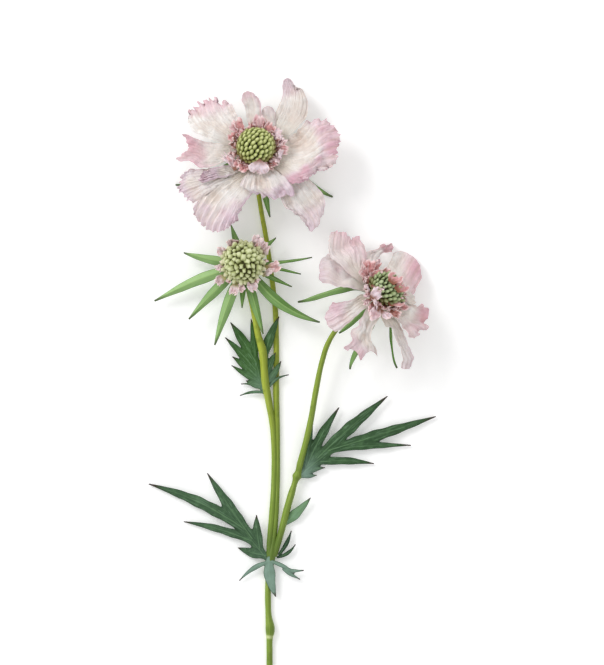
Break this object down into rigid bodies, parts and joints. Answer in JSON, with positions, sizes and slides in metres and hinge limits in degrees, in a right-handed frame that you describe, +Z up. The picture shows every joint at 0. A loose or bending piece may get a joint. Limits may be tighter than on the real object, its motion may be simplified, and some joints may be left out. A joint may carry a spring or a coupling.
{
  "type": "scabiosa flower spray",
  "caption": "Cut scabiosa spray lying down: forked green stem with open pale pink pincushion blooms, a young green head, long bracts and deeply lobed leaves.",
  "frame": {"origin": "on the surface that the spray lies on, under the middle of its bounding box", "axes": "+Y up the spray from the cut end to the blooms, +Z up off the surface, +X to the side of the branch with the smaller open bloom"},
  "size_m": [0.144, 0.3637, 0.0401],
  "materials": {
    "stem": "satin green skin, yellower towards the heads",
    "leaf": "matt dark green, bluer by the stem",
    "bract": "matt fresh green",
    "petal": "matt, thin, cream with pink margins",
    "floret": "matt, coral pink, brown at the root",
    "cushion": "matt olive buds, pale tops"
  },
  "bodies": {
    "root": {"stem": "stem", "lower_leaf_left": "leaf", "lower_leaf_front": "leaf", "lower_leaf_right": "leaf", "lower_leaf_sliver": "leaf", "branch_leaf": "leaf", "fork_leaf_left": "leaf", "fork_leaf_right": "leaf", "bloom_a_bracts": "bract", "bloom_a_petals": "petal", "bloom_a_florets": "floret", "bloom_a_cushion": "cushion", "bloom_b_bracts": "bract", "bloom_b_petals": "petal", "bloom_b_florets": "floret", "bloom_b_cushion": "cushion", "young_head_bracts": "bract", "young_head_florets": "floret", "young_head_cushion": "cushion"}
  },
  "joints": []
}
